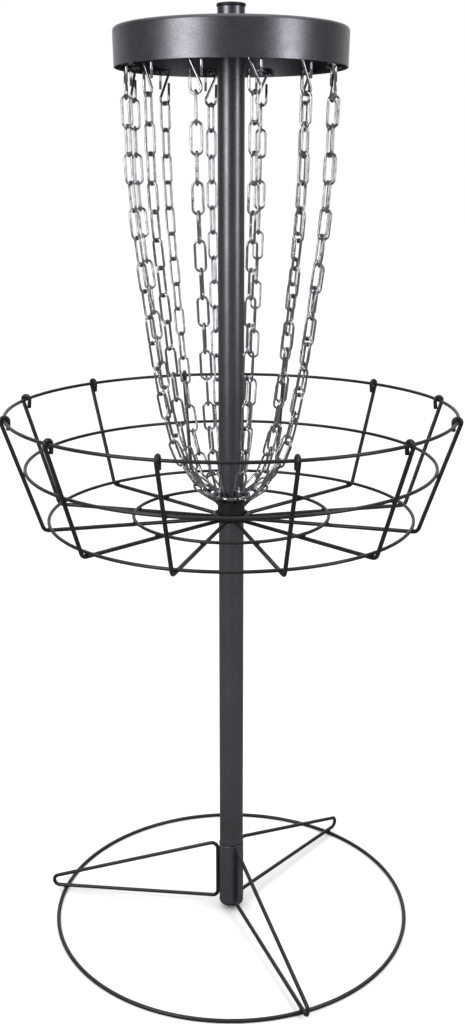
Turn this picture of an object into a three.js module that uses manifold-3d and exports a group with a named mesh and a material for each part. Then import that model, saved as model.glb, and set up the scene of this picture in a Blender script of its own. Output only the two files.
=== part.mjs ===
// Disc golf basket: a wire-legged stand, a two-piece pole, a wire catching tray and a
// pressed steel pan from which twelve chains hang down to a ring round the pole.
// Millimetres, +Z up, origin on the floor under the pole, front of the basket at -Y.

import * as THREE from "three";
import { mergeVertices } from "three/addons/utils/BufferGeometryUtils.js";
import Module from "manifold-3d";

const manifold = await Module();
manifold.setup();

// ---------------------------------------------------------------- driving dimensions

const GAP = 0.3; // air left between neighbouring pieces that touch on the real object

// Stand
const FRAME_WIRE = 6; // diameter of the legs, ribs and base ring
const BASE_RING_RADIUS = 285;
const LEG_AZIMUTHS = [21, 141, 261]; // degrees from the front, turning to the right
const LEG_TOP = 122;
const LEG_HEEL = 17; // height of the corner at the foot of the base tube
const LEG_TIP_RADIUS = 305;
const LEG_TIP_LOW = 8.6;
const LEG_TIP_HIGH = 25;
const LEG_CORNER_BEND = 9;
const LEG_TIP_BEND = 7.5;

// Pole
const POLE_RADIUS = 18.9;
const POLE_WALL = 1.6;
const SPIGOT_RADIUS = POLE_RADIUS - POLE_WALL - GAP;
const SPIGOT_BORE = SPIGOT_RADIUS - POLE_WALL;
const POLE_BORE = POLE_RADIUS - POLE_WALL;
const SHOULDER = 3; // height over which a pole narrows to its spigot
const BASE_TUBE_RADIUS = 19.7;
const BASE_TUBE_BOTTOM = 14;
const BASE_TUBE_TOP = 121;
const LOWER_SPIGOT_BOTTOM = 21;
const PLUG_FLANGE = 3; // thickness of the foot plug below the base tube
const PLUG_CHAMFER = 2;
const POLE_JOINT = 697; // height where the upper pole seats on the lower pole
const UPPER_SPIGOT_BOTTOM = 588;
const POLE_TOP = 1391.8;
const CAP_TOP = 1396;
const CAP_RADIUS = 19.9;
const CAP_SHANK = 12; // how deep the cap plugs into the pole
const CAP_CHAMFER = 1;

// Tray
const RING_WIRE = 5;
const RIM = { radius: 330, height: 839.3 };
const MID_RING = { radius: 303.9, height: 761.2 };
const FLOOR_RING = { radius: 272.9, height: 680.2 };
const INNER_RING = { radius: 147, height: 680.2 };
const HUB_RING = { radius: 25.8, height: 680.2 };
const RIB_COUNT = 12;
const FIRST_RIB_AZIMUTH = 14.2;
const RIB_TAIL = 12.8; // how far a rib's hooked end hangs below the rim's centre
const RIB_BEND = 10;
const HUB_RADIUS = 20.4;
const HUB_BOTTOM = 671;
const HUB_TOP = 704;

// Top pan, with the pegs that carry the chains
const PAN_RADIUS = 160;
const PAN_FLARE = 1; // the wall is this much wider at the shoulder than at its lower edge
const PAN_BOTTOM = 1313.5;
const PAN_TOP = 1364.5;
const PAN_SHOULDER = 5;
const PAN_WALL = 1.5;
const PEG_WIRE = 6;
const PEG_HEIGHT = 1318.5;
const PEG_TIP_RADIUS = 136;
const COLLAR_RADIUS = 24;
const COLLAR_LENGTH = 20;

// Chains
const CHAIN_COUNT = 12;
const FIRST_CHAIN_AZIMUTH = -18;
const HANG_RADIUS = 145;
const HOOK_WIRE = 3.8;
const HOOK_BEND = 7.65; // centreline radius of both bends
const HOOK_BOTTOM = 1272.6; // centreline of the lower bend
const HOOK_TAIL = 22; // length of the straight end beside each bend
const LINK_WIRE = 3.5;
const LINK_HALF_WIDTH = 7; // centreline
const LINK_POINT = 4.2; // how far a pointed end runs past its shoulders
const LINK_FUSE = 0.3; // how deep touching links run into each other
const LINKS_PER_CHAIN = 16;
const CHAIN_RING_RADIUS = 26.3;
const CHAIN_RING_WIRE = 5;
const CHAIN_RING_HEIGHT = 710;
const LAST_LINK_SLOPE = 30; // degrees above level, looking outward

// A wire of n flat sides keeps the cross-section area of the round wire it stands for.
const CORNER_GROWTH = (sides) => Math.sqrt((2 * Math.PI) / (sides * Math.sin((2 * Math.PI) / sides)));
const HOOK_SAG = 0.4; // how far the flats of a hooked bend cut inside its true arc
const HOOK_STEPS = 5; // flats along each hooked bend of an S-hook or a rib
const BEND_STEPS = 3; // flats along any other bend
const HOOK_SIDES = 4;
const FRAME_SIDES = 5;
const RING_SIDES = 5;
const BASE_RING_SIDES = 6; // an even count leaves a flat facet to stand on
const PEG_SIDES = 6;

// Flats round the pole's axis; a multiple of four keeps every box centred.
const RING_SEGMENTS = 48;
const INNER_RING_SEGMENTS = 32;
const POLE_SEGMENTS = 24;
const PAN_SEGMENTS = 36;
const HOOK_CORNER = (HOOK_WIRE / 2) * CORNER_GROWTH(HOOK_SIDES);
const CHAIN_RING_CORNER = (CHAIN_RING_WIRE / 2) * CORNER_GROWTH(RING_SIDES);
const LINK_BAR = (LINK_WIRE * Math.sqrt(Math.PI)) / 2; // side of a square bar of the wire's area

// How far the end of a link reaches past the centre of the wire that it hangs on.
const HOOK_REACH = HOOK_CORNER + HOOK_SAG + LINK_BAR / 2 + GAP;
const POINT_SLOPE = Math.hypot(LINK_HALF_WIDTH, LINK_POINT) / LINK_HALF_WIDTH;
const RING_REACH = (CHAIN_RING_CORNER + LINK_BAR / 2 + GAP) * POINT_SLOPE;
const LAST_SLOPE = (LAST_LINK_SLOPE * Math.PI) / 180;
const CHAIN_END_RADIUS = CHAIN_RING_RADIUS - RING_REACH * Math.cos(LAST_SLOPE);
const CHAIN_END_HEIGHT = CHAIN_RING_HEIGHT - RING_REACH * Math.sin(LAST_SLOPE);

// The centreline of a hanging chain in its own radial plane, from the hook to the ring:
// nearly straight down, leaning in, then sweeping under towards the pole.
const CHAIN_ROUTE = [
  [HANG_RADIUS, HOOK_BOTTOM + HOOK_REACH],
  [139.5, 1143],
  [122, 998],
  [101, 853],
  [83, 781],
  [64, 744],
  [42, 717],
  [CHAIN_END_RADIUS, CHAIN_END_HEIGHT],
];
// The chain also twists by a quarter turn on its way down, mostly near the bottom, so that
// both its first and its last link stand in the radial plane.
const TWIST_EXPONENT = 3;

// ---------------------------------------------------------------- materials

function finish(color, roughness, metalness) {
  return new THREE.MeshStandardMaterial({ color, roughness, metalness });
}

const POWDER_COAT = finish(0x3b3b40, 0.4, 0.5);
const COATED_WIRE = finish(0x3a3a3d, 0.5, 0.3);
const ZINC = finish(0xb4b7bb, 0.3, 0.9);
const BLACK_PLASTIC = finish(0x18181a, 0.5, 0);

// ---------------------------------------------------------------- geometry helpers

const radians = THREE.MathUtils.degToRad;
const inPlane = ([radius, height]) => new THREE.Vector3(radius, 0, height);

// A wire's centreline given as its own bend points, so that straights take a single step.
class WireLine extends THREE.Curve {
  constructor(points, closed = false) {
    super();
    this.points = points;
    this.closed = closed;
  }
  get steps() {
    return this.closed ? this.points.length : this.points.length - 1;
  }
  at(index) {
    const count = this.points.length;
    return this.points[this.closed ? (index + count) % count : THREE.MathUtils.clamp(index, 0, count - 1)];
  }
  getPoint(t, target = new THREE.Vector3()) {
    return target.copy(this.at(Math.round(t * this.steps)));
  }
  getPointAt(t, target) {
    return this.getPoint(t, target);
  }
  getTangentAt(t, target = new THREE.Vector3()) {
    const index = Math.round(t * this.steps);
    const here = this.at(index);
    const ahead = this.at(index + 1).clone().sub(here).normalize();
    const behind = here.clone().sub(this.at(index - 1)).normalize();
    return target.copy(ahead.add(behind).normalize());
  }
}

// Replaces each corner of a line in the radial plane by an arc of its own bend radius.
function bendCorners(corners, closed, stepsPerBend) {
  const points = [];
  const count = corners.length;
  corners.forEach(([radius, height, bend], index) => {
    const corner = inPlane([radius, height]);
    const isEnd = !closed && (index === 0 || index === count - 1);
    if (isEnd || !bend) {
      points.push(corner);
      return;
    }
    const toPrevious = inPlane(corners[(index + count - 1) % count]).sub(corner).normalize();
    const toNext = inPlane(corners[(index + 1) % count]).sub(corner).normalize();
    const halfAngle = toPrevious.angleTo(toNext) / 2;
    const middle = toPrevious.clone().add(toNext).normalize();
    const centre = corner.clone().addScaledVector(middle, bend / Math.sin(halfAngle));
    const start = corner.clone().addScaledVector(toPrevious, bend / Math.tan(halfAngle)).sub(centre);
    const end = corner.clone().addScaledVector(toNext, bend / Math.tan(halfAngle)).sub(centre);
    const sweep = start.angleTo(end);
    for (let step = 0; step <= stepsPerBend; step += 1) {
      const share = step / stepsPerBend;
      const arm = start.clone().multiplyScalar(Math.sin((1 - share) * sweep));
      arm.addScaledVector(end, Math.sin(share * sweep)).divideScalar(Math.sin(sweep));
      points.push(centre.clone().add(arm));
    }
  });
  return points;
}

function arcPoints(centreRadius, centreHeight, bend, fromDegrees, toDegrees, steps) {
  return Array.from({ length: steps + 1 }, (_, step) => {
    const angle = radians(THREE.MathUtils.lerp(fromDegrees, toDegrees, step / steps));
    return [centreRadius + bend * Math.cos(angle), centreHeight + bend * Math.sin(angle)];
  });
}

// An open wire with flat ends.
function openWire(points, diameter, sides) {
  const corner = (diameter / 2) * CORNER_GROWTH(sides);
  const section = new THREE.Shape();
  for (let side = 0; side < sides; side += 1) {
    const angle = (side / sides) * 2 * Math.PI;
    const place = side === 0 ? "moveTo" : "lineTo";
    section[place](corner * Math.cos(angle), corner * Math.sin(angle));
  }
  section.closePath();
  const line = new WireLine(points);
  return new THREE.ExtrudeGeometry(section, { steps: line.steps, extrudePath: line, curveSegments: 1 });
}

// A wire welded into an endless loop.
function closedWire(points, diameter, sides) {
  const line = new WireLine(points, true);
  return new THREE.TubeGeometry(line, line.steps, (diameter / 2) * CORNER_GROWTH(sides), sides, true);
}

// A wire ring lying level round the pole's axis.
function levelRing({ radius, height }, diameter, segments, sides = RING_SIDES) {
  const ring = new THREE.TorusGeometry(radius, (diameter / 2) * CORNER_GROWTH(sides), sides, segments);
  return ring.translate(0, 0, height);
}

// A turned or pressed piece: its [radius, height] outline spun round the pole's axis.
function turned(outline, segments, closed = true) {
  const points = outline.map(([radius, height]) => new THREE.Vector2(radius, height));
  if (closed) points.push(points[0].clone());
  return new THREE.LatheGeometry(points, segments).rotateX(Math.PI / 2);
}

function toSolid(geometry) {
  const bare = geometry.clone();
  bare.deleteAttribute("normal");
  bare.deleteAttribute("uv");
  const merged = mergeVertices(bare, 1e-4);
  return new manifold.Manifold(
    new manifold.Mesh({
      numProp: 3,
      vertProperties: new Float32Array(merged.attributes.position.array),
      triVerts: new Uint32Array(merged.index.array),
    }),
  );
}

function toGeometry(solid) {
  const { vertProperties, triVerts } = solid.getMesh();
  const geometry = new THREE.BufferGeometry();
  geometry.setAttribute("position", new THREE.BufferAttribute(vertProperties, 3));
  geometry.setIndex(new THREE.BufferAttribute(triVerts, 1));
  geometry.computeVertexNormals();
  return geometry;
}

const joined = (geometries) => toGeometry(geometries.map(toSolid).reduce((sum, solid) => sum.add(solid)));

function piece(name, geometry, material) {
  const mesh = new THREE.Mesh(geometry, material);
  mesh.name = name;
  return mesh;
}

// Turns a piece made in the radial plane (its +X outward) to its azimuth from the front.
function atAzimuth(mesh, degreesFromFront) {
  mesh.rotation.z = radians(degreesFromFront - 90);
  return mesh;
}

// ---------------------------------------------------------------- stand

function buildStand() {
  const stand = new THREE.Group();
  const ringHeight = (FRAME_WIRE / 2) * CORNER_GROWTH(BASE_RING_SIDES) * Math.cos(Math.PI / BASE_RING_SIDES);
  const baseRing = { radius: BASE_RING_RADIUS, height: ringHeight };
  stand.add(piece("base_ring", levelRing(baseRing, FRAME_WIRE, RING_SEGMENTS, BASE_RING_SIDES), COATED_WIRE));

  const wireAxis = BASE_TUBE_RADIUS + GAP + (FRAME_WIRE / 2) * CORNER_GROWTH(FRAME_SIDES);
  const legCorners = [
    [wireAxis, LEG_HEEL, LEG_CORNER_BEND],
    [wireAxis, LEG_TOP, LEG_CORNER_BEND],
    [LEG_TIP_RADIUS, LEG_TIP_HIGH, LEG_TIP_BEND],
    [LEG_TIP_RADIUS, LEG_TIP_LOW + GAP, LEG_TIP_BEND],
  ];
  LEG_AZIMUTHS.forEach((azimuth, index) => {
    const geometry = closedWire(bendCorners(legCorners, true, BEND_STEPS), FRAME_WIRE, FRAME_SIDES);
    stand.add(atAzimuth(piece(`leg_${index + 1}`, geometry, COATED_WIRE), azimuth));
  });

  const tubeOutline = [
    [BASE_TUBE_RADIUS, BASE_TUBE_BOTTOM],
    [BASE_TUBE_RADIUS, BASE_TUBE_TOP],
    [POLE_BORE, BASE_TUBE_TOP],
    [POLE_BORE, BASE_TUBE_BOTTOM],
  ];
  stand.add(piece("base_tube", turned(tubeOutline, POLE_SEGMENTS), POWDER_COAT));

  const flangeTop = BASE_TUBE_BOTTOM - GAP;
  const flangeBottom = flangeTop - PLUG_FLANGE;
  const plugTop = LOWER_SPIGOT_BOTTOM - GAP;
  const plugOutline = [
    [0, flangeBottom],
    [BASE_TUBE_RADIUS - PLUG_CHAMFER, flangeBottom],
    [BASE_TUBE_RADIUS, flangeBottom + PLUG_CHAMFER],
    [BASE_TUBE_RADIUS, flangeTop],
    [POLE_BORE - GAP, flangeTop],
    [POLE_BORE - GAP, plugTop],
    [0, plugTop],
  ];
  stand.add(piece("base_plug", turned(plugOutline, POLE_SEGMENTS, false), BLACK_PLASTIC));
  return stand;
}

// ---------------------------------------------------------------- poles

// A tube whose lower end is swaged down to a spigot that plugs into the tube below.
function poleOutline(spigotBottom, seat, top) {
  return [
    [SPIGOT_RADIUS, spigotBottom],
    [SPIGOT_RADIUS, seat],
    [POLE_RADIUS, seat + SHOULDER / 2],
    [POLE_RADIUS, top],
    [POLE_BORE, top],
    [POLE_BORE, seat + SHOULDER],
    [SPIGOT_BORE, seat],
    [SPIGOT_BORE, spigotBottom],
  ];
}

function lowerPole() {
  const outline = poleOutline(LOWER_SPIGOT_BOTTOM, BASE_TUBE_TOP, POLE_JOINT);
  return piece("lower_pole", turned(outline, POLE_SEGMENTS), POWDER_COAT);
}

function upperPole() {
  const outline = poleOutline(UPPER_SPIGOT_BOTTOM, POLE_JOINT, POLE_TOP);
  return piece("upper_pole", turned(outline, POLE_SEGMENTS), POWDER_COAT);
}

function poleCap() {
  const flangeBottom = POLE_TOP + GAP;
  const outline = [
    [0, flangeBottom - CAP_SHANK],
    [POLE_BORE - GAP, flangeBottom - CAP_SHANK],
    [POLE_BORE - GAP, flangeBottom],
    [CAP_RADIUS, flangeBottom],
    [CAP_RADIUS, CAP_TOP - CAP_CHAMFER],
    [CAP_RADIUS - CAP_CHAMFER, CAP_TOP],
    [0, CAP_TOP],
  ];
  return piece("pole_cap", turned(outline, POLE_SEGMENTS, false), BLACK_PLASTIC);
}

// A short sleeve round a pole.
function poleSleeve(radius, bottom, top) {
  const outline = [
    [radius, bottom],
    [radius, top],
    [POLE_RADIUS + GAP, top],
    [POLE_RADIUS + GAP, bottom],
  ];
  return turned(outline, POLE_SEGMENTS);
}

// ---------------------------------------------------------------- tray

// One wire hooked over the rim from outside, run down the side of the tray, bent in
// under the floor rings and welded to the hub as a spoke.
function ribGeometry() {
  const wires = (RING_WIRE / 2) * CORNER_GROWTH(RING_SIDES) + (FRAME_WIRE / 2) * CORNER_GROWTH(FRAME_SIDES);
  const reach = wires + GAP + HOOK_SAG;
  const lean = Math.atan2(RIM.radius - MID_RING.radius, RIM.height - MID_RING.height);
  const leanDegrees = THREE.MathUtils.radToDeg(lean);
  const hook = arcPoints(RIM.radius, RIM.height, reach, 180, -leanDegrees, HOOK_STEPS);
  const [hookEndRadius, hookEndHeight] = hook.at(-1);
  const spokeHeight = FLOOR_RING.height - reach;
  const bendRadius = hookEndRadius - (hookEndHeight - spokeHeight) * Math.tan(lean);
  const spokeEnd = HUB_RADIUS + GAP;
  const lowerRun = bendCorners(
    [[hookEndRadius, hookEndHeight], [bendRadius, spokeHeight, RIB_BEND], [spokeEnd, spokeHeight]],
    false,
    BEND_STEPS,
  );
  const tail = inPlane([RIM.radius - reach, RIM.height - RIB_TAIL]);
  return openWire([tail, ...hook.slice(0, -1).map(inPlane), ...lowerRun], FRAME_WIRE, FRAME_SIDES);
}

function buildTray() {
  const tray = new THREE.Group();
  const rings = [
    ["tray_rim", RIM, RING_SEGMENTS],
    ["tray_mid_ring", MID_RING, RING_SEGMENTS],
    ["tray_floor_ring", FLOOR_RING, RING_SEGMENTS],
    ["tray_inner_ring", INNER_RING, INNER_RING_SEGMENTS],
    ["tray_hub_ring", HUB_RING, POLE_SEGMENTS],
  ];
  rings.forEach(([name, ring, segments]) => {
    tray.add(piece(name, levelRing(ring, RING_WIRE, segments), COATED_WIRE));
  });
  for (let index = 0; index < RIB_COUNT; index += 1) {
    const azimuth = FIRST_RIB_AZIMUTH + (index * 360) / RIB_COUNT;
    tray.add(atAzimuth(piece(`rib_${index + 1}`, ribGeometry(), COATED_WIRE), azimuth));
  }
  tray.add(piece("tray_hub", poleSleeve(HUB_RADIUS, HUB_BOTTOM, HUB_TOP), POWDER_COAT));
  return tray;
}

// ---------------------------------------------------------------- top pan

// A pressed pan, open below, with one radial wire peg welded inside its wall over each chain.
function topPan() {
  const shoulderRadius = PAN_RADIUS + PAN_FLARE - PAN_SHOULDER;
  const shoulderHeight = PAN_TOP - PAN_SHOULDER;
  const innerShoulder = PAN_SHOULDER - PAN_WALL;
  const hole = POLE_RADIUS + GAP;
  const outline = [
    [PAN_RADIUS, PAN_BOTTOM],
    ...arcPoints(shoulderRadius, shoulderHeight, PAN_SHOULDER, 0, 90, BEND_STEPS),
    [hole, PAN_TOP],
    [hole, PAN_TOP - PAN_WALL],
    ...arcPoints(shoulderRadius, shoulderHeight, innerShoulder, 90, 0, BEND_STEPS),
    [PAN_RADIUS - PAN_WALL, PAN_BOTTOM],
  ];
  const parts = [turned(outline, PAN_SEGMENTS)];
  const rootRadius = PAN_RADIUS - PAN_WALL / 2;
  for (let index = 0; index < CHAIN_COUNT; index += 1) {
    const azimuth = FIRST_CHAIN_AZIMUTH + (index * 360) / CHAIN_COUNT;
    const length = rootRadius - PEG_TIP_RADIUS;
    const peg = new THREE.CylinderGeometry(PEG_WIRE / 2, PEG_WIRE / 2, length, PEG_SIDES);
    peg.rotateZ(Math.PI / 2).translate(PEG_TIP_RADIUS + length / 2, 0, PEG_HEIGHT);
    parts.push(peg.rotateZ(radians(azimuth - 90)));
  }
  return piece("top_pan", joined(parts), POWDER_COAT);
}

// The collar on the pole that the pan's top rests on.
function panCollar() {
  const top = PAN_TOP - PAN_WALL - GAP;
  return piece("pan_collar", poleSleeve(COLLAR_RADIUS, top - COLLAR_LENGTH, top), POWDER_COAT);
}

// ---------------------------------------------------------------- chains

// An S-hook standing across the radial plane: its upper bend over a peg, its lower bend
// under the first link, and a tail beside each end of the slanting middle.
function hookGeometry() {
  const upperCentre = PEG_HEIGHT + PEG_WIRE / 2 + GAP + HOOK_SAG + HOOK_CORNER - HOOK_BEND;
  const lowerCentre = HOOK_BOTTOM + HOOK_BEND;
  const lean = THREE.MathUtils.radToDeg(Math.asin((2 * HOOK_BEND) / (upperCentre - lowerCentre)));
  const upperBend = arcPoints(0, upperCentre, HOOK_BEND, 0, 180 + lean, HOOK_STEPS);
  const lowerBend = arcPoints(0, lowerCentre, HOOK_BEND, lean, -180, HOOK_STEPS);
  const outline = [
    [HOOK_BEND, upperCentre - HOOK_TAIL],
    ...upperBend,
    ...lowerBend,
    [-HOOK_BEND, lowerCentre + HOOK_TAIL],
  ];
  const points = outline.map(([across, height]) => new THREE.Vector3(HANG_RADIUS, across, height));
  return openWire(points, HOOK_WIRE, HOOK_SIDES);
}

// The outline of a link, grown or shrunk by an offset. A pointed lower end fits between
// the chain ring and the pole.
function linkOutline(halfLength, offset, isPointed) {
  const side = LINK_HALF_WIDTH + offset;
  const end = halfLength + offset;
  const shoulder = halfLength - LINK_POINT;
  const square = [[-side, -end], [side, -end]];
  const pointed = [[-side, -shoulder], [0, -end], [side, -shoulder]];
  const corners = [[side, end], [-side, end], ...(isPointed ? pointed : square)];
  return corners.map(([x, y]) => new THREE.Vector2(x, y));
}

// One link of square bar, standing along Z in the XZ plane.
function linkGeometry(halfLength, isPointed) {
  const shape = new THREE.Shape(linkOutline(halfLength, LINK_BAR / 2, isPointed));
  shape.holes.push(new THREE.Path(linkOutline(halfLength, -LINK_BAR / 2, isPointed)));
  const link = new THREE.ExtrudeGeometry(shape, { depth: LINK_BAR, bevelEnabled: false });
  return link.translate(0, 0, -LINK_BAR / 2).rotateX(Math.PI / 2);
}

// A whole strand: interlocked links threaded on the chain's route, each a quarter turn
// on from the last, and fused where they touch.
function strandGeometry() {
  const route = new THREE.CatmullRomCurve3(CHAIN_ROUTE.map(inPlane), false, "centripetal");
  route.arcLengthDivisions = 800;
  const length = route.getLength();
  const hold = LINK_BAR - LINK_FUSE; // from the end of a link to the near end of the next
  const pitch = (length - hold) / LINKS_PER_CHAIN;
  const across = new THREE.Vector3(0, 1, 0);
  const links = Array.from({ length: LINKS_PER_CHAIN }, (_, index) => {
    const top = route.getPointAt((index * pitch) / length);
    const bottom = route.getPointAt(Math.min(1, ((index + 1) * pitch + hold) / length));
    const axis = top.clone().sub(bottom);
    const halfLength = axis.length() / 2;
    axis.normalize();
    const outward = across.clone().cross(axis).normalize();
    const turn = index + (index / (LINKS_PER_CHAIN - 1)) ** TWIST_EXPONENT;
    const placing = new THREE.Matrix4().makeBasis(outward, across, axis);
    placing.multiply(new THREE.Matrix4().makeRotationZ((turn * Math.PI) / 2));
    placing.setPosition(top.add(bottom).multiplyScalar(0.5));
    return linkGeometry(halfLength, index === LINKS_PER_CHAIN - 1).applyMatrix4(placing);
  });
  return joined(links);
}

function buildChains() {
  const chains = new THREE.Group();
  const ring = { radius: CHAIN_RING_RADIUS, height: CHAIN_RING_HEIGHT };
  chains.add(piece("chain_ring", levelRing(ring, CHAIN_RING_WIRE, POLE_SEGMENTS), ZINC));
  for (let index = 0; index < CHAIN_COUNT; index += 1) {
    const azimuth = FIRST_CHAIN_AZIMUTH + (index * 360) / CHAIN_COUNT;
    chains.add(atAzimuth(piece(`s_hook_${index + 1}`, hookGeometry(), ZINC), azimuth));
    chains.add(atAzimuth(piece(`chain_${index + 1}`, strandGeometry(), ZINC), azimuth));
  }
  return chains;
}

// ---------------------------------------------------------------- the whole basket

const basket = new THREE.Group();
basket.add(buildStand(), lowerPole(), buildTray());
basket.add(upperPole(), poleCap(), topPan(), panCollar(), buildChains());

export default basket;
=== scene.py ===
"""The looks of a disc golf basket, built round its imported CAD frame.

Metres, +Z up, the pole's axis on Z and the front of the basket at -Y. Azimuths are in degrees
from the front, turning to the right.
"""

import math

import bmesh
import bpy
from mathutils import Matrix, Vector, noise


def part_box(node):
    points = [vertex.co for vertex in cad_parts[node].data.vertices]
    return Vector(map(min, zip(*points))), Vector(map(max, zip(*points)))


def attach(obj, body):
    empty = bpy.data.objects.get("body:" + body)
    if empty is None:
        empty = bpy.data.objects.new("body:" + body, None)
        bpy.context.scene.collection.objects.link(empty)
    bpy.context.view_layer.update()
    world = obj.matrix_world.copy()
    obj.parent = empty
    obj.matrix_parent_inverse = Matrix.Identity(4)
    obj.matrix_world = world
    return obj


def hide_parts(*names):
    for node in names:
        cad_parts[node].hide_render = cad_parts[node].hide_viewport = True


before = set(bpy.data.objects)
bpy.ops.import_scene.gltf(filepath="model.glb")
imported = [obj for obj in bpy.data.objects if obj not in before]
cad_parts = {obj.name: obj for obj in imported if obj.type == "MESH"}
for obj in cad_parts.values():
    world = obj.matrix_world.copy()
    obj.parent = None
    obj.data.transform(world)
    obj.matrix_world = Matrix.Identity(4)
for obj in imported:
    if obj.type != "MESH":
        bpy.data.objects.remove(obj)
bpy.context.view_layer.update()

# ---------------------------------------------------------------- driving dimensions

TOUCH = 0.0001  # air left between pieces that bear on each other
SLIP = 3 * TOUCH  # air left round a pole, spigot, plug or cap in its bore, and under its flange

# Wires, by diameter
FRAME_WIRE = 0.006  # legs, ribs and base ring
RING_WIRE = 0.005
PEG_WIRE = 0.006
HOOK_WIRE = 0.0038
LINK_WIRE = 0.0035
CHAIN_RING_WIRE = 0.005

# Stand
LEG_HEEL = 0.017  # height of the corner at the foot of the base tube
LEG_TIP_HIGH = 0.025
LEG_CORNER_BEND = 0.009
LEG_TIP_BEND = 0.0085

# Tubes
TUBE_WALL = 0.0016
SPIGOT_LIP = 0.003  # height over which a pole narrows to its spigot
EDGE = 0.0006  # rounding of a cut tube edge
PLUG_FOOT_ROUND = 0.0022
CAP_CROWN_ROUND = 0.0012
SHANK_ROUND = 0.001  # inner end of the plug's and the cap's shanks

# Tray
RIB_TAIL = 0.0125  # how far the hooked end of a rib hangs below the rim's centre
RIB_BEND = 0.009
RIB_HOOK_START = 186  # degrees round the rim from its outer side, where the tail meets the hook

# Top pan
PAN_WALL = 0.0015
PAN_SHOULDER = 0.005
PAN_FLARE = 0.001
PEG_HEIGHT = 1.3185
PEG_TIP_RADIUS = 0.136

# Chains
HOOK_BEND = 0.00765  # centreline radius of both bends of an S-hook
HOOK_TAIL = 0.022  # length of the straight end beside each bend
HOOK_SPLAY = 1.04  # how far a tail's tip stands out, in bend radii
HOOK_BOTTOM = 1.2726  # centreline of the lower bend
LINKS_PER_CHAIN = 16
LINK_HALF_WIDTH = 0.007  # centreline
LAST_LINK_SLOPE = 30  # degrees above level, looking outward
LATEST_TURN = 5  # power that holds back a front or back chain's last quarter turn
TURN_SPREAD = 3.4  # how much smaller that power is on a chain at the side
HOOK_TWIST = 0.2  # how far, in quarter turns, the top of a chain stands off the hook's square
# The chain's centreline between the hook and the ring, as (radius, height).
CHAIN_ROUTE = [
    (0.1395, 1.143),
    (0.122, 0.998),
    (0.101, 0.853),
    (0.083, 0.781),
    (0.064, 0.744),
    (0.042, 0.717),
]

# Links: the upset left by the butt weld, as (share of its half length, swelling of the wire)
LINK_WELD_HALF = 0.0023
LINK_WELD_SHAPE = [(1, 1), (0.45, 1.13), (0.1, 1.02)]

# Weld beads, as (length, width, height)
LEG_TUBE_BEAD = (0.017, 0.0034, 0.0034)
LEG_RING_BEAD = (0.0065, 0.0036, 0.0036)
RIB_WALL_BEAD = (0.0052, 0.0042, 0.0030)
RIB_FLOOR_BEAD = (0.0056, 0.0042, 0.0030)
SPOKE_BEAD = (0.0075, 0.0040, 0.0046)
PEG_BEAD = (0.0075, 0.004, 0.0036)
BEAD_LIFT = 0.001  # how far a bead's middle stands off a tube
PEG_BEAD_LIFT = 0.0012
LEG_BEADS_FROM_HEEL = 0.016
LEG_BEADS_FROM_TOP = 0.018
# How far a bead's middle lies to the side of the wire's, in wire diameters
LEG_TUBE_FLANK = 0.34
LEG_RING_FLANK = 0.36
RIB_FLANK = 0.3
SPOKE_FLANK = 0.38
BEAD_ROUGHNESS = 0.16
BEAD_PATCHES = 1.7  # how fine the unevenness is, in noise cells to a bead's half length

# Smoothness
BEAD_RINGS = 7
BEAD_COLUMNS = 12
HOOK_STEPS = 18  # in each bend of an S-hook
RIB_HOOK_STEPS = 14
LINK_BEND_STEPS = 12
RING_SEGMENTS = 180
TUBE_SEGMENTS = 96
PAN_SEGMENTS = 192
WIRE_SIDES = 16
HOOK_SIDES = 14
LINK_SIDES = 12
END_ROUND = 0.3  # rounding of a cut wire's edge, in wire radii
BEND_LEAD = 0.25  # from the end of a bend to the point that steadies its shading, in bend radii
SHORT_LEAD = 0.001
HOOK_LEAD = 0.002


# ---------------------------------------------------------------- reading the frame


def names(prefix):
    """The CAD nodes called prefix_1, prefix_2 and so on, in that order."""
    found = [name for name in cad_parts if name.startswith(prefix + "_")]
    numbered = [name for name in found if name[len(prefix) + 1 :].isdigit()]
    return sorted(numbered, key=lambda name: int(name.rsplit("_", 1)[1]))


def middle(node):
    """The mean of a node's vertices."""
    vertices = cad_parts[node].data.vertices
    return sum((vertex.co for vertex in vertices), Vector()) / len(vertices)


def azimuth(node):
    """The direction from the pole to the middle of a node."""
    centre = middle(node)
    return math.degrees(math.atan2(centre.x, -centre.y))


def reach(node):
    """The farthest distance of a node from the pole's axis."""
    return max(vertex.co.xy.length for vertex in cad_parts[node].data.vertices)


def ring(node):
    """The centreline radius and the height of a wire ring."""
    low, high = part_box(node)
    return (high.x - low.x) / 2 - (high.z - low.z) / 2, (low.z + high.z) / 2


def tube(node):
    """The outer radius, the bottom and the top of a round upright node."""
    low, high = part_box(node)
    return (high.x - low.x) / 2, low.z, high.z


POLE_RADIUS, POLE_SEAT_UPPER, POLE_TOP = tube("upper_pole")
BASE_TUBE_RADIUS, BASE_TUBE_BOTTOM, BASE_TUBE_TOP = tube("base_tube")
HUB_RADIUS, HUB_BOTTOM, HUB_TOP = tube("tray_hub")
PAN_WIDEST, PAN_BOTTOM, PAN_TOP = tube("top_pan")
CAP_RADIUS, CAP_BOTTOM, CAP_TOP = tube("pole_cap")
JOINT_HEIGHT = tube("lower_pole")[2]  # where the upper pole seats on the lower one
SPIGOT_RADIUS = POLE_RADIUS - TUBE_WALL - SLIP
RIM_RADIUS, RIM_HEIGHT = ring("tray_rim")
MID_RADIUS, MID_HEIGHT = ring("tray_mid_ring")
FLOOR_RADIUS, FLOOR_HEIGHT = ring("tray_floor_ring")
INNER_RADIUS, INNER_HEIGHT = ring("tray_inner_ring")
HUB_RING_RADIUS, HUB_RING_HEIGHT = ring("tray_hub_ring")
BASE_RING_RADIUS = ring("base_ring")[0]
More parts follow.
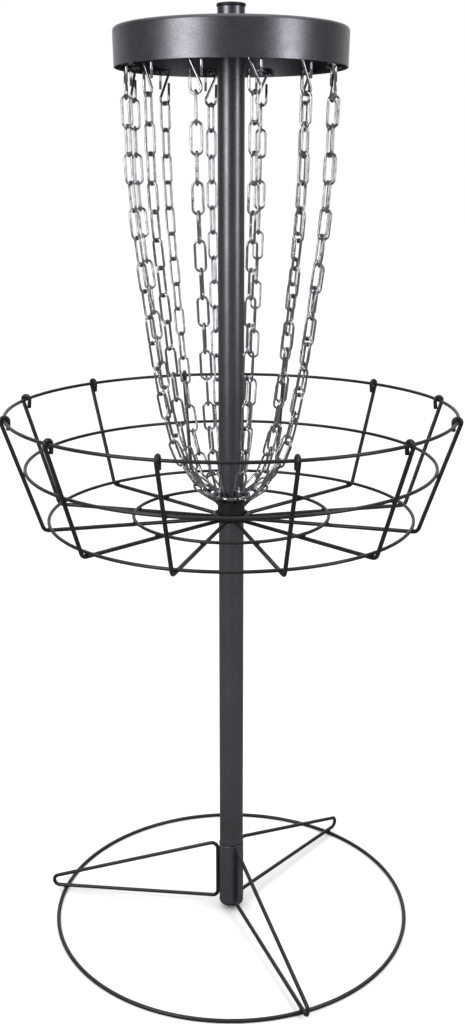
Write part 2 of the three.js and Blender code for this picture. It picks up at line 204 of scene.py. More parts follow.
CHAIN_RING_RADIUS, CHAIN_RING_HEIGHT = ring("chain_ring")
COLLAR_RADIUS, COLLAR_BOTTOM, COLLAR_TOP = tube("pan_collar")
HANG_RADIUS = middle("s_hook_1").xy.length

# ---------------------------------------------------------------- mesh building

UPWARD = (0, 0, 1)


def radial(radius, height, degrees=90, across=0):
    """A point at a radius from the pole's axis, with across to the right seen from outside."""
    angle = math.radians(degrees - 90)
    outward = Vector((math.cos(angle), math.sin(angle), 0))
    return outward * radius + Vector((-outward.y, outward.x, 0)) * across + Vector((0, 0, height))


def arc(centre, bend, start, end, steps):
    """Points (x, y) of an arc, angles in degrees."""
    turn = [math.radians(start + (end - start) * step / steps) for step in range(steps + 1)]
    return [(centre[0] + bend * math.cos(a), centre[1] + bend * math.sin(a)) for a in turn]


def bent(corners, closed=False, steps=8):
    """A line of (x, y) or (x, y, bend radius) corners, with each bend rounded to an arc.

    A point close to both ends of an arc keeps its shading off the straights.
    """
    points = []
    count = len(corners)
    for index, corner in enumerate(corners):
        here = Vector(corner[:2])
        bend = corner[2] if len(corner) > 2 else 0
        if not bend or (not closed and index in (0, count - 1)):
            points.append(tuple(here))
            continue
        back = (Vector(corners[index - 1][:2]) - here).normalized()
        ahead = (Vector(corners[(index + 1) % count][:2]) - here).normalized()
        half = back.angle(ahead) / 2
        centre = here + (back + ahead).normalized() * bend / math.sin(half)
        reach_back = bend / math.tan(half)
        start = here + back * reach_back - centre
        end = here + ahead * reach_back - centre
        sweep = start.angle(end)
        points.append(tuple(centre + start + back * bend * BEND_LEAD))
        for step in range(steps + 1):
            share = step / steps
            arm = start * math.sin((1 - share) * sweep) + end * math.sin(share * sweep)
            points.append(tuple(centre + arm / math.sin(sweep)))
        points.append(tuple(centre + end + ahead * bend * BEND_LEAD))
    return points


class Shell:
    """Vertices and faces of one piece, gathered from sweeps, turned outlines and beads."""

    def __init__(self):
        self.vertices = []
        self.faces = []

    def skin(self, rows, closed_rows=False):
        """Skins rows of points, each row a closed loop with the same count."""
        first = len(self.vertices)
        count = len(rows[0])
        for row in rows:
            self.vertices.extend(row)
        last_row = len(rows) if closed_rows else len(rows) - 1
        for row in range(last_row):
            below = first + row * count
            above = first + (row + 1) % len(rows) * count
            for column in range(count):
                after = (column + 1) % count
                self.faces.append((below + column, below + after, above + after, above + column))
        return first

    def fan(self, ring_start, count, tip, flipped):
        """Closes a row of points with a tip."""
        self.vertices.append(tip)
        top = len(self.vertices) - 1
        for column in range(count):
            after = (column + 1) % count
            edge = (ring_start + after, ring_start + column, top)
            self.faces.append(edge[::-1] if flipped else edge)

    def wire(self, points, radius, sides=WIRE_SIDES, closed=False):
        """A round wire along points. radius is one number or one for each point.

        The ends are cut square, with their edge rounded.
        """
        points = [Vector(point) for point in points]
        count = len(points)
        radii = [radius] * count if isinstance(radius, (int, float)) else list(radius)
        tangents = []
        for index, point in enumerate(points):
            before = points[index - 1] if closed or index else point
            after = points[(index + 1) % count] if closed or index < count - 1 else point
            tangents.append((after - before).normalized())
        normal = tangents[0].orthogonal().normalized()
        normals = [normal]
        for index in range(1, count):
            turn = tangents[index - 1].rotation_difference(tangents[index])
            normal = turn @ normal
            normals.append((normal - tangents[index] * normal.dot(tangents[index])).normalized())
        slip = 0.0
        if closed:
            back = tangents[-1].rotation_difference(tangents[0]) @ normals[-1]
            slip = math.atan2(tangents[0].dot(back.cross(normals[0])), back.dot(normals[0]))

        def section(index, place, size):
            side = tangents[index].cross(normals[index])
            lag = slip * index / count
            angles = [2 * math.pi * step / sides + lag for step in range(sides)]
            return [
                place + (normals[index] * math.cos(a) + side * math.sin(a)) * size for a in angles
            ]

        rows = [section(i, points[i], radii[i]) for i in range(count)]
        if closed:
            self.skin(rows, closed_rows=True)
            return
        lip = radii[0] * END_ROUND
        rows.insert(0, section(0, points[0] - tangents[0] * lip, radii[0] - lip))
        rows.append(section(count - 1, points[-1] + tangents[-1] * lip, radii[-1] - lip))
        first = self.skin(rows)
        self.fan(first, sides, points[0] - tangents[0] * lip, False)
        last = first + (len(rows) - 1) * sides
        self.fan(last, sides, points[-1] + tangents[-1] * lip, True)

    def hoop(self, radius, height, diameter):
        """A level wire ring round the pole's axis."""
        degrees = [360 * step / RING_SEGMENTS for step in range(RING_SEGMENTS)]
        self.wire([radial(radius, height, a) for a in degrees], diameter / 2, closed=True)

    def turned(self, outline, segments=TUBE_SEGMENTS, closed=True):
        """Spins a (radius, height) outline round Z. An open one starts and ends on the axis."""
        on_axis = [] if closed else [outline[0][1], outline[-1][1]]
        outline = outline if closed else outline[1:-1]
        degrees = [360 * step / segments for step in range(segments)]
        rows = [[radial(r, z, a) for a in degrees] for r, z in outline]
        first = self.skin(rows, closed_rows=closed)
        if on_axis:
            self.fan(first, segments, Vector((0, 0, on_axis[0])), False)
            last = first + (len(rows) - 1) * segments
            self.fan(last, segments, Vector((0, 0, on_axis[1])), True)

    def bead(self, centre, along, up, size, seed):
        """A lump of weld metal: an ellipsoid with an uneven surface."""
        length, width, height = size
        along = Vector(along).normalized()
        up = (Vector(up) - along * along.dot(up)).normalized()
        side = up.cross(along)
        rows = []
        for row in range(1, BEAD_RINGS):
            tilt = math.pi * row / BEAD_RINGS
            points = []
            for column in range(BEAD_COLUMNS):
                spin = 2 * math.pi * column / BEAD_COLUMNS
                waist = math.sin(tilt)
                ball = Vector((math.cos(tilt), waist * math.cos(spin), waist * math.sin(spin)))
                # Each seed reads a patch of the noise of its own.
                patch = ball * BEAD_PATCHES + Vector((seed * 3.1, seed * 1.3, 0))
                rough = 1 + BEAD_ROUGHNESS * noise.noise(patch)
                arm = along * ball.x * length + side * ball.y * width + up * ball.z * height
                points.append(centre + arm / 2 * rough)
            rows.append(points)
        first = self.skin(rows)
        self.fan(first, BEAD_COLUMNS, centre + along * length / 2, False)
        last = first + (len(rows) - 1) * BEAD_COLUMNS
        self.fan(last, BEAD_COLUMNS, centre - along * length / 2, True)

    def make(self, name, material, body, slot, *stands_for):
        """Turns the shell into a piece that rides on a body."""
        mesh = bpy.data.meshes.new(name)
        mesh.from_pydata([tuple(v) for v in self.vertices], [], self.faces)
        mesh.polygons.foreach_set("use_smooth", [True] * len(mesh.polygons))
        mesh.materials.append(material)
        mesh.update()
        outward(mesh)
        piece = bpy.data.objects.new(name, mesh)
        bpy.context.scene.collection.objects.link(piece)
        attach(piece, body)
        if stands_for:
            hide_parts(*stands_for)
        return piece


def outward(mesh):
    """Points every face outward."""
    loose = bmesh.new()
    loose.from_mesh(mesh)
    bmesh.ops.recalc_face_normals(loose, faces=loose.faces)
    loose.to_mesh(mesh)
    loose.free()


# ---------------------------------------------------------------- materials


USUAL_LOW = 0.3  # the range in which most of a noise's values lie
USUAL_HIGH = 0.7


class Finish:
    """A Principled material whose colour, roughness and bump come from noise in the part's own space."""

    def __init__(self, name, metallic, specular):
        self.material = bpy.data.materials.new(name)
        self.material.use_nodes = True
        self.nodes = self.material.node_tree.nodes
        self.links = self.material.node_tree.links
        self.shader = self.nodes["Principled BSDF"]
        self.shader.inputs["Metallic"].default_value = metallic
        self.shader.inputs["Specular IOR Level"].default_value = specular
        self.place = self.nodes.new("ShaderNodeTexCoord").outputs["Object"]

    def noise(self, per_metre, detail):
        """Cloudy noise, 0 to 1, with about this many clouds to the metre."""
        texture = self.nodes.new("ShaderNodeTexNoise")
        texture.inputs["Scale"].default_value = per_metre
        texture.inputs["Detail"].default_value = detail
        self.links.new(self.place, texture.inputs["Vector"])
        return texture.outputs["Fac"]

    def grains(self, per_metre):
        """A random value, 0 to 1, for each of this many grains to the metre."""
        texture = self.nodes.new("ShaderNodeTexVoronoi")
        texture.inputs["Scale"].default_value = per_metre
        self.links.new(self.place, texture.inputs["Vector"])
        split = self.nodes.new("ShaderNodeSeparateColor")
        self.links.new(texture.outputs["Color"], split.inputs["Color"])
        return split.outputs["Red"]

    def ramp(self, source, low, high, dark, light):
        """Maps source from low..high to dark..light, as colours."""
        node = self.nodes.new("ShaderNodeValToRGB")
        node.color_ramp.elements[0].position = low
        node.color_ramp.elements[1].position = high
        node.color_ramp.elements[0].color = (*dark, 1)
        node.color_ramp.elements[1].color = (*light, 1)
        self.links.new(source, node.inputs["Fac"])
        return node.outputs["Color"]

    def spread(self, source, dark, light):
        """Maps source from its usual range to dark..light, as a number."""
        node = self.nodes.new("ShaderNodeMapRange")
        node.inputs["From Min"].default_value = USUAL_LOW
        node.inputs["From Max"].default_value = USUAL_HIGH
        node.inputs["To Min"].default_value = dark
        node.inputs["To Max"].default_value = light
        self.links.new(source, node.inputs["Value"])
        return node.outputs["Result"]

    def grey_between(self, source, dark, light):
        """Maps 0..1 to a grey between dark and light."""
        return self.ramp(source, 0, 1, (dark, dark, dark), (light, light, light))

    def product(self, first, second):
        """Multiplies two colours."""
        node = self.nodes.new("ShaderNodeMix")
        node.data_type = "RGBA"
        node.blend_type = "MULTIPLY"
        node.inputs["Factor"].default_value = 1.0
        self.links.new(first, node.inputs["A"])
        self.links.new(second, node.inputs["B"])
        return node.outputs["Result"]

    def colour(self, source):
        self.links.new(source, self.shader.inputs["Base Color"])

    def roughness(self, source):
        self.links.new(source, self.shader.inputs["Roughness"])

    def bumps(self, *layers):
        """Each layer is (height source, strength, depth in metres)."""
        normal = None
        for height, strength, depth in layers:
            node = self.nodes.new("ShaderNodeBump")
            node.inputs["Strength"].default_value = strength
            node.inputs["Distance"].default_value = depth
            self.links.new(height, node.inputs["Height"])
            if normal:
                self.links.new(normal, node.inputs["Normal"])
            normal = node.outputs["Normal"]
        self.links.new(normal, self.shader.inputs["Normal"])


def powder_coat():
    """Graphite powder coat with fine metal flake, for the pan, its collar, the poles and the base tube."""
    finish = Finish("graphite_powder_coat", metallic=0.85, specular=0.5)
    cloud = finish.ramp(finish.noise(9, 3), 0.35, 0.65, (0.145, 0.145, 0.158), (0.172, 0.172, 0.19))
    flake = finish.ramp(finish.grains(1400), 0.5, 1.0, (0.88, 0.88, 0.89), (1.35, 1.35, 1.38))
    finish.colour(finish.product(cloud, flake))
    finish.roughness(finish.spread(finish.noise(60, 3), 0.30, 0.37))
    finish.bumps((finish.noise(900, 2), 0.06, 0.0003), (finish.noise(260, 2), 0.03, 0.0006))
    return finish.material


def wire_coat():
    """Charcoal coating over welded wire and the tray's hub: darker than the tubes', and lumpier."""
    finish = Finish("charcoal_wire_coat", metallic=0.0, specular=0.45)
    cloud = finish.ramp(finish.noise(14, 3), 0.3, 0.7, (0.012, 0.012, 0.013), (0.018, 0.018, 0.019))
    flake = finish.ramp(finish.grains(1600), 0.6, 1.0, (0.9, 0.9, 0.9), (1.5, 1.5, 1.5))
    finish.colour(finish.product(cloud, flake))
    finish.roughness(finish.spread(finish.noise(45, 3), 0.30, 0.42))
    finish.bumps((finish.noise(700, 2), 0.12, 0.0003), (finish.noise(160, 2), 0.08, 0.0008))
    return finish.material


def zinc():
    """Bright zinc plate with a faint spangle and duller, cloudier stretches."""
    finish = Finish("bright_zinc", metallic=1.0, specular=0.5)
    finish.shader.inputs["Specular Tint"].default_value = (0.3, 0.3, 0.32, 1)
    cloud = finish.ramp(finish.noise(70, 3), 0.3, 0.7, (0.38, 0.39, 0.41), (0.62, 0.63, 0.64))
    spangle = finish.ramp(finish.grains(420), 0.0, 1.0, (0.88, 0.89, 0.9), (1.0, 1.0, 1.0))
    finish.colour(finish.product(cloud, spangle))
    finish.roughness(finish.spread(finish.noise(130, 3), 0.09, 0.18))
    finish.bumps((finish.noise(500, 2), 0.10, 0.0003), (finish.noise(1800, 1), 0.05, 0.0001))
    return finish.material


def black_plastic():
    """Moulded black plastic with a fine matte grain."""
    finish = Finish("moulded_black_plastic", metallic=0.0, specular=0.4)
    finish.colour(finish.ramp(finish.noise(40, 3), 0.3, 0.7, (0.010, 0.010, 0.011), (0.016, 0.016, 0.017)))
    finish.roughness(finish.spread(finish.noise(300, 2), 0.42, 0.55))
    finish.bumps((finish.grains(2500), 0.15, 0.0001), (finish.noise(500, 2), 0.06, 0.0003))
    return finish.material


POWDER_COAT = powder_coat()
WIRE_COAT = wire_coat()
ZINC = zinc()
BLACK_PLASTIC = black_plastic()

# ---------------------------------------------------------------- stand

LEG_WIRE_RADIUS = BASE_TUBE_RADIUS + FRAME_WIRE / 2 + TOUCH
LEG_TIP_RADIUS = reach("leg_1") - FRAME_WIRE / 2
LEG_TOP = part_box("leg_1")[1].z - FRAME_WIRE / 2
LEG_TIP_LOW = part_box("leg_1")[0].z + FRAME_WIRE / 2


def make_stand():
    ring_wire = Shell()
    ring_wire.hoop(BASE_RING_RADIUS, FRAME_WIRE / 2, FRAME_WIRE)
    ring_wire.make("base_ring_wire", WIRE_COAT, "stand", "coated_wire", "base_ring")

    welds = Shell()
    corners = [
        (LEG_WIRE_RADIUS, LEG_HEEL, LEG_CORNER_BEND),
        (LEG_WIRE_RADIUS, LEG_TOP, LEG_CORNER_BEND),
        (LEG_TIP_RADIUS, LEG_TIP_HIGH, LEG_TIP_BEND),
        (LEG_TIP_RADIUS, LEG_TIP_LOW, LEG_TIP_BEND),
    ]
    outline = bent(corners, closed=True)
    for number, leg in enumerate(names("leg"), 1):
        side = azimuth(leg)
        wire = Shell()
        wire.wire([radial(r, z, side) for r, z in outline], FRAME_WIRE / 2, closed=True)
        wire.make(f"{leg}_wire", WIRE_COAT, "stand", "coated_wire", leg)
        weld_leg(welds, side, number)
    welds.make("stand_weld_beads", WIRE_COAT, "stand", "coated_wire")

    sleeve = Shell()
    wall = [
        (BASE_TUBE_RADIUS, BASE_TUBE_BOTTOM, EDGE),
        (BASE_TUBE_RADIUS, BASE_TUBE_TOP, EDGE),
        (POLE_RADIUS - TUBE_WALL, BASE_TUBE_TOP, EDGE),
        (POLE_RADIUS - TUBE_WALL, BASE_TUBE_BOTTOM, EDGE),
    ]
    sleeve.turned(bent(wall, closed=True, steps=3))
    sleeve.make("base_tube_sleeve", POWDER_COAT, "stand", "powder_coat", "base_tube")

    plug_low, plug_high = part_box("base_plug")
    flange_top = BASE_TUBE_BOTTOM - SLIP
    shank = POLE_RADIUS - TUBE_WALL - SLIP
    plug = Shell()
    profile = [
        (0, plug_low.z),
        (BASE_TUBE_RADIUS, plug_low.z, PLUG_FOOT_ROUND),
        (BASE_TUBE_RADIUS, flange_top, EDGE / 2),
        (shank, flange_top),
        (shank, plug_high.z, SHANK_ROUND),
        (0, plug_high.z),
    ]
    plug.turned(bent(profile, steps=5), closed=False)
    plug.make("base_plug_moulding", BLACK_PLASTIC, "stand", "black_plastic", "base_plug")


def weld_leg(welds, side, seed):
    """The beads that hold a leg: a row up each flank on the base tube, and one on the base ring."""
    outward_line = radial(1, 0, side)
    for flank in (-1, 1):
        aside = flank * FRAME_WIRE * LEG_TUBE_FLANK
        for count, height in enumerate((LEG_HEEL + LEG_BEADS_FROM_HEEL, LEG_TOP - LEG_BEADS_FROM_TOP)):
            centre = radial(BASE_TUBE_RADIUS + BEAD_LIFT, height, side, aside)
            welds.bead(centre, UPWARD, outward_line, LEG_TUBE_BEAD, seed * 7 + count + flank)
    fall = (LEG_HEEL - LEG_TIP_LOW) / (LEG_TIP_RADIUS - LEG_WIRE_RADIUS)
    wire_height = LEG_TIP_LOW + fall * (LEG_TIP_RADIUS - BASE_RING_RADIUS)
    between = (wire_height + FRAME_WIRE / 2) / 2
    for flank in (-1, 1):
        centre = radial(BASE_RING_RADIUS, between, side, flank * FRAME_WIRE * LEG_RING_FLANK)
        welds.bead(centre, outward_line, UPWARD, LEG_RING_BEAD, seed * 5 + flank)


# ---------------------------------------------------------------- poles and cap


def pole(name, body, node, bottom, seat, top):
    """A tube whose lower end is swaged down to a spigot."""
    bore = POLE_RADIUS - TUBE_WALL
    spigot_bore = SPIGOT_RADIUS - TUBE_WALL
    outline = [
        (SPIGOT_RADIUS, bottom, EDGE),
        (SPIGOT_RADIUS, seat, EDGE),
        (POLE_RADIUS, seat + SPIGOT_LIP / 2, EDGE),
        (POLE_RADIUS, top, EDGE),
        (bore, top, EDGE),
        (bore, seat + SPIGOT_LIP, EDGE),
        (spigot_bore, seat, EDGE),
        (spigot_bore, bottom, EDGE),
    ]
    shell = Shell()
    shell.turned(bent(outline, closed=True, steps=3))
    shell.make(name, POWDER_COAT, body, "powder_coat", node)


def make_poles():
    lower_bottom = tube("lower_pole")[1]
    pole("lower_pole_tube", "lower_mast", "lower_pole", lower_bottom, BASE_TUBE_TOP, JOINT_HEIGHT)
    pole("upper_pole_tube", "upper_mast", "upper_pole", POLE_SEAT_UPPER, JOINT_HEIGHT, POLE_TOP)

    flange_bottom = POLE_TOP + SLIP
    shank = POLE_RADIUS - TUBE_WALL - SLIP
    cap = Shell()
    profile = [
        (0, CAP_BOTTOM),
        (shank, CAP_BOTTOM, SHANK_ROUND),
        (shank, flange_bottom),
        (CAP_RADIUS, flange_bottom, EDGE),
        (CAP_RADIUS, CAP_TOP, CAP_CROWN_ROUND),
        (0, CAP_TOP),
    ]
    cap.turned(bent(profile, steps=5), closed=False)
    cap.make("pole_cap_moulding", BLACK_PLASTIC, "upper_mast", "black_plastic", "pole_cap")


def pole_sleeve(radius, bottom, top):
    """A short sleeve round a pole."""
    bore = POLE_RADIUS + SLIP
    sleeve = Shell()
    wall = [(radius, bottom, EDGE), (radius, top, EDGE), (bore, top, EDGE / 2), (bore, bottom, EDGE / 2)]
    sleeve.turned(bent(wall, closed=True, steps=4))
    return sleeve


# ---------------------------------------------------------------- tray

RIB_REACH = (RING_WIRE + FRAME_WIRE) / 2 + TOUCH
RIB_LEAN = math.atan2(RIM_RADIUS - MID_RADIUS, RIM_HEIGHT - MID_HEIGHT)
SPOKE_HEIGHT = FLOOR_HEIGHT - RIB_REACH


def rib_outline():
    """A rib's centreline: a tail inside the rim, a hook over it, the side, and the spoke to the hub."""
    hook_end = -math.degrees(RIB_LEAN)
    hook = arc((RIM_RADIUS, RIM_HEIGHT), RIB_REACH, RIB_HOOK_START, hook_end, RIB_HOOK_STEPS)
    foot = hook[-1][0] - (hook[-1][1] - SPOKE_HEIGHT) * math.tan(RIB_LEAN)
    run = bent([hook[-1], (foot, SPOKE_HEIGHT, RIB_BEND), (HUB_RADIUS + TOUCH, SPOKE_HEIGHT)], steps=10)
    tail = (hook[0][0] + SHORT_LEAD, RIM_HEIGHT - RIB_TAIL)
    near_tail = (hook[0][0], hook[0][1] - SHORT_LEAD)
    return [tail, near_tail] + hook[:-1] + run


def make_tray():
    rings = {
        "tray_rim": (RIM_RADIUS, RIM_HEIGHT),
        "tray_mid_ring": (MID_RADIUS, MID_HEIGHT),
        "tray_floor_ring": (FLOOR_RADIUS, FLOOR_HEIGHT),
        "tray_inner_ring": (INNER_RADIUS, INNER_HEIGHT),
        "tray_hub_ring": (HUB_RING_RADIUS, HUB_RING_HEIGHT),
    }
    for node, (radius, height) in rings.items():
        wire = Shell()
        wire.hoop(radius, height, RING_WIRE)
        wire.make(f"{node}_wire", WIRE_COAT, "lower_mast", "coated_wire", node)

    welds = Shell()
    outline = rib_outline()
    for number, rib in enumerate(names("rib")):
        side = azimuth(rib)
        wire = Shell()
        wire.wire([radial(r, z, side) for r, z in outline], FRAME_WIRE / 2)
        wire.make(f"{rib}_wire", WIRE_COAT, "lower_mast", "coated_wire", rib)
        weld_rib(welds, side, number)
    welds.make("tray_weld_beads", WIRE_COAT, "lower_mast", "coated_wire")

    hub = pole_sleeve(HUB_RADIUS, HUB_BOTTOM, HUB_TOP)
    hub.make("tray_hub_sleeve", WIRE_COAT, "lower_mast", "powder_coat", "tray_hub")


def weld_rib(welds, side, seed):
    """The beads where a rib crosses the rings, and the lump that joins its spoke to the hub."""
    tangent = radial(0, 0, side, 1)
    outward_line = radial(1, 0, side)
    wall_line = radial(math.cos(RIB_LEAN), -math.sin(RIB_LEAN), side)
    wall_run = radial(math.sin(RIB_LEAN), math.cos(RIB_LEAN), side)
    to_contact = RIB_REACH * RING_WIRE / (RING_WIRE + FRAME_WIRE)
    for radius, height in ((MID_RADIUS, MID_HEIGHT), (RIM_RADIUS, RIM_HEIGHT)):
        centre = radial(radius, height, side) + wall_line * to_contact
        for flank in (-1, 1):
            spot = centre + tangent * flank * FRAME_WIRE * RIB_FLANK
            welds.bead(spot, wall_run, wall_line, RIB_WALL_BEAD, seed * 11 + flank)
    for radius, height in (
        (FLOOR_RADIUS, FLOOR_HEIGHT),
        (INNER_RADIUS, INNER_HEIGHT),
        (HUB_RING_RADIUS, HUB_RING_HEIGHT),
    ):
        centre = radial(radius, height - to_contact, side)
        for flank in (-1, 1):
            spot = centre + tangent * flank * FRAME_WIRE * RIB_FLANK
            welds.bead(spot, outward_line, UPWARD, RIB_FLOOR_BEAD, seed * 13 + flank)
    for flank in (-1, 1):
        spot = radial(HUB_RADIUS + BEAD_LIFT, SPOKE_HEIGHT, side, flank * FRAME_WIRE * SPOKE_FLANK)
        welds.bead(spot, UPWARD, outward_line, SPOKE_BEAD, seed * 17 + flank)


# ---------------------------------------------------------------- top pan


def make_pan():
    hole = POLE_RADIUS + SLIP
    low_radius = PAN_WIDEST - PAN_FLARE
    inner_shoulder = PAN_SHOULDER - PAN_WALL
    outline = [
        (low_radius, PAN_BOTTOM, EDGE),
        (PAN_WIDEST, PAN_TOP, PAN_SHOULDER),
        (hole, PAN_TOP, EDGE),
        (hole, PAN_TOP - PAN_WALL, EDGE),
        (PAN_WIDEST - PAN_WALL, PAN_TOP - PAN_WALL, inner_shoulder),
        (low_radius - PAN_WALL, PAN_BOTTOM, EDGE),
    ]
    pan = Shell()
    pan.turned(bent(outline, closed=True, steps=8), segments=PAN_SEGMENTS)
    wall_inside = low_radius - PAN_WALL
    for number, chain in enumerate(names("chain")):
        side = azimuth(chain)
        ends = [radial(radius, PEG_HEIGHT, side) for radius in (PEG_TIP_RADIUS, wall_inside)]
        pan.wire(ends, PEG_WIRE / 2)
        for flank in (-1, 1):
            aside = flank * PEG_WIRE * SPOKE_FLANK
            root = radial(wall_inside - PEG_BEAD_LIFT, PEG_HEIGHT, side, aside)
            pan.bead(root, UPWARD, radial(1, 0, side), PEG_BEAD, number * 9 + flank)
    pan.make("top_pan_shell", POWDER_COAT, "upper_mast", "powder_coat", "top_pan")

    collar = pole_sleeve(COLLAR_RADIUS, COLLAR_BOTTOM, COLLAR_TOP)
    collar.make("pan_collar_sleeve", POWDER_COAT, "upper_mast", "powder_coat", "pan_collar")


# ---------------------------------------------------------------- chains

HOOK_TOP = PEG_HEIGHT + (PEG_WIRE + HOOK_WIRE) / 2 + TOUCH
HOOK_REACH = (HOOK_WIRE + LINK_WIRE) / 2 + TOUCH
RING_REACH = (CHAIN_RING_WIRE + LINK_WIRE) / 2 + TOUCH


def hook_points(side):
    """An S-hook across the radial plane: over the peg, under the first link, with two tails."""
    upper = HOOK_TOP - HOOK_BEND
    lower = HOOK_BOTTOM + HOOK_BEND
    lean = math.degrees(math.asin(2 * HOOK_BEND / (upper - lower)))
    tip = HOOK_BEND * HOOK_SPLAY
    line = [(tip, upper - HOOK_TAIL), (HOOK_BEND, upper - HOOK_LEAD)]
    line += arc((0, upper), HOOK_BEND, 0, 180 + lean, HOOK_STEPS)
    line += arc((0, lower), HOOK_BEND, lean, -180, HOOK_STEPS)
    line += [(-HOOK_BEND, lower + HOOK_LEAD), (-tip, lower + HOOK_TAIL)]
    return [radial(HANG_RADIUS, height, side, across) for across, height in line]


def smooth_line(points, samples_per_span=40):
    """A centripetal Catmull-Rom line through 2-D points, as many close points."""
    points = [Vector(point) for point in points]
    points = [points[0] * 2 - points[1]] + points + [points[-1] * 2 - points[-2]]
    line = []
    for span in range(len(points) - 3):
        four = points[span : span + 4]
        knots = [0.0]
        for first, second in zip(four, four[1:]):
            knots.append(knots[-1] + (second - first).length ** 0.5)
        for sample in range(samples_per_span):
            knot = knots[1] + (knots[2] - knots[1]) * sample / samples_per_span
            level = four
            for width in (1, 2):
                shares = [(knot - a) / (b - a) for a, b in zip(knots, knots[width:])]
                level = [a.lerp(b, share) for a, b, share in zip(level, level[1:], shares)]
            line.append(level[0].lerp(level[1], sample / samples_per_span))
    line.append(points[-2])
    return line


def along(line, distances):
    """The points that lie at these distances along a line."""
    found = []
    walked = 0.0
    index = 0
    for distance in distances:
        while index < len(line) - 2 and walked + (line[index + 1] - line[index]).length < distance:
            walked += (line[index + 1] - line[index]).length
            index += 1
        step = (line[index + 1] - line[index]).length
        found.append(line[index].lerp(line[index + 1], (distance - walked) / step))
    return found


def link_loop(half_length):
    """The closed centreline of a link, standing along Z, with its weld at the middle of one side.

    Gives (across, height, wire radius) for each point.
    """
    straight = half_length - LINK_HALF_WIDTH
    weld = LINK_WELD_HALF
    wire = LINK_WIRE / 2
    loop = [(LINK_HALF_WIDTH, h, wire) for h in (-straight * 0.5, 0, straight * 0.5)]
    loop += [(x, z + straight, wire) for x, z in arc((0, 0), LINK_HALF_WIDTH, 0, 180, LINK_BEND_STEPS)]
    loop += [(-LINK_HALF_WIDTH, straight * 0.4, wire)]
    loop += [(-LINK_HALF_WIDTH, share * weld, wire * swell) for share, swell in LINK_WELD_SHAPE]
    loop += [(-LINK_HALF_WIDTH, -share * weld, wire * swell) for share, swell in LINK_WELD_SHAPE[::-1]]
    loop += [(-LINK_HALF_WIDTH, -straight * 0.4, wire)]
    loop += [(x, z - straight, wire) for x, z in arc((0, 0), LINK_HALF_WIDTH, 180, 360, LINK_BEND_STEPS)]
    return loop


def make_strand(hook, chain, ring_slope, body):
    side = azimuth(chain)
    metal = Shell()
    metal.wire(hook_points(side), HOOK_WIRE / 2, sides=HOOK_SIDES)
    metal.make(f"{hook}_wire", ZINC, body, "zinc_plate", hook)

    start = (HANG_RADIUS, HOOK_BOTTOM + HOOK_REACH)
    end = (
        CHAIN_RING_RADIUS - RING_REACH * math.cos(ring_slope),
        CHAIN_RING_HEIGHT - RING_REACH * math.sin(ring_slope),
    )
    line = smooth_line([start, *CHAIN_ROUTE, end])
    length = sum((b - a).length for a, b in zip(line, line[1:]))
    hold = LINK_WIRE + TOUCH  # from the end of a link back to the start of the next
    pitch = (length - hold) / LINKS_PER_CHAIN
    tops = along(line, [index * pitch for index in range(LINKS_PER_CHAIN)])
    ends = along(line, [(index + 1) * pitch + hold for index in range(LINKS_PER_CHAIN)])
    # The quarter turn that brings the last link round to the ring's plane comes late on the
    # front and back chains, and is spread along those at the sides.
    lateness = LATEST_TURN - TURN_SPREAD * abs(math.sin(math.radians(side)))
    across = radial(0, 0, side, 1)
    links = Shell()
    for index, (top, bottom) in enumerate(zip(tops, ends)):
        upper = radial(top.x, top.y, side)
        lower = radial(bottom.x, bottom.y, side)
        axis = (upper - lower).normalized()
        share = index / (LINKS_PER_CHAIN - 1)
        turn = index + share**lateness + HOOK_TWIST * (1 - share) ** 2
        first = Matrix.Rotation(turn * math.pi / 2, 3, axis) @ across.cross(axis).normalized()
        # One link in three has its weld on the other side.
        flip = 1 if (index + round(side)) % 3 else -1
        centre = (upper + lower) / 2
        loop = link_loop((upper - lower).length / 2)
        points = [centre + first * x * flip + axis * z for x, z, _ in loop]
        links.wire(points, [size for _, _, size in loop], sides=LINK_SIDES, closed=True)
    links.make(f"{chain}_links", ZINC, body, "zinc_plate", chain)


def make_chains():
    ring_wire = Shell()
    ring_wire.hoop(CHAIN_RING_RADIUS, CHAIN_RING_HEIGHT, CHAIN_RING_WIRE)
    ring_wire.make("chain_ring_wire", ZINC, "upper_mast", "zinc_plate", "chain_ring")
    slope = math.radians(LAST_LINK_SLOPE)
    for number, (hook, chain) in enumerate(zip(names("s_hook"), names("chain")), 1):
        make_strand(hook, chain, slope, f"strand_{number}")


# ---------------------------------------------------------------- studio


FLOOR_BOUNCE = 0.18  # the share of the floor's colour that lights the basket from below
FLOOR_HALF = 30
SOFTBOX_DISTANCE = 1.9
SOFTBOX_HEIGHT = 1.5
SOFTBOX_AIM = 1.4
SOFTBOX_TALL = 1.25
OVERHEAD_SPREAD = 100  # degrees
WORLD_DIM = 0.09  # strength of the light from the front and the sides
WORLD_DIM_TO = 0.3  # how far back it stays dim, from 0 at the side to 1 behind
WORLD_BRIGHT = 0.8  # strength straight behind
CAMERA_PLACE = (0, -1.72, 1.1734)
CAMERA_DIP = 15.91  # degrees below level
CAMERA_YAW = -0.0011  # radians
CAMERA_LENS = 41.55
CAMERA_SENSOR = 36


